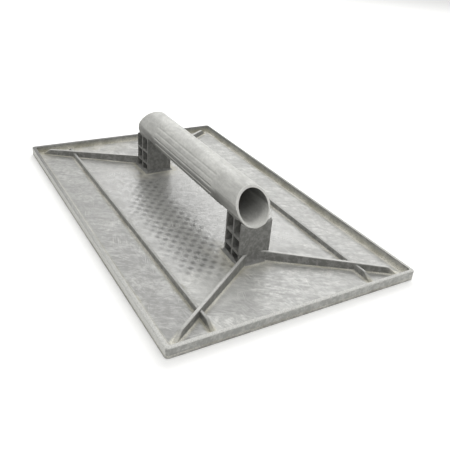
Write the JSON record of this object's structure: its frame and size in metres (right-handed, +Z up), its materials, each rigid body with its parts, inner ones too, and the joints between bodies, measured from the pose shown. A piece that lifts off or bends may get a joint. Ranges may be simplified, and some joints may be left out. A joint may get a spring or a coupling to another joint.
{
  "type": "plasterer's float",
  "caption": "Flat rectangular plastic float for spreading and smoothing plaster, ribbed and rimmed on its back, with a round tube handle held above it on cored posts.",
  "frame": {"origin": "centre of the flat working face, which is the lowest face", "axes": "+X along the handle and the plate's long side, +Y across the plate, +Z up from the working face to the handle"},
  "size_m": [0.36, 0.22, 0.066],
  "materials": {
    "moulding": "satin, scuffed"
  },
  "bodies": {
    "root": {"blade_plate": "moulding", "front_rim": "moulding", "back_rim": "moulding", "left_rim": "moulding", "right_rim": "moulding", "front_left_diagonal_rib": "moulding", "front_right_diagonal_rib": "moulding", "back_left_diagonal_rib": "moulding", "back_right_diagonal_rib": "moulding", "front_long_rib": "moulding", "back_long_rib": "moulding", "front_left_rib_tail": "moulding", "front_right_rib_tail": "moulding", "back_left_rib_tail": "moulding", "back_right_rib_tail": "moulding", "handle_tube": "moulding", "left_post": "moulding", "right_post": "moulding", "left_post_foot": "moulding", "right_post_foot": "moulding"}
  },
  "joints": []
}
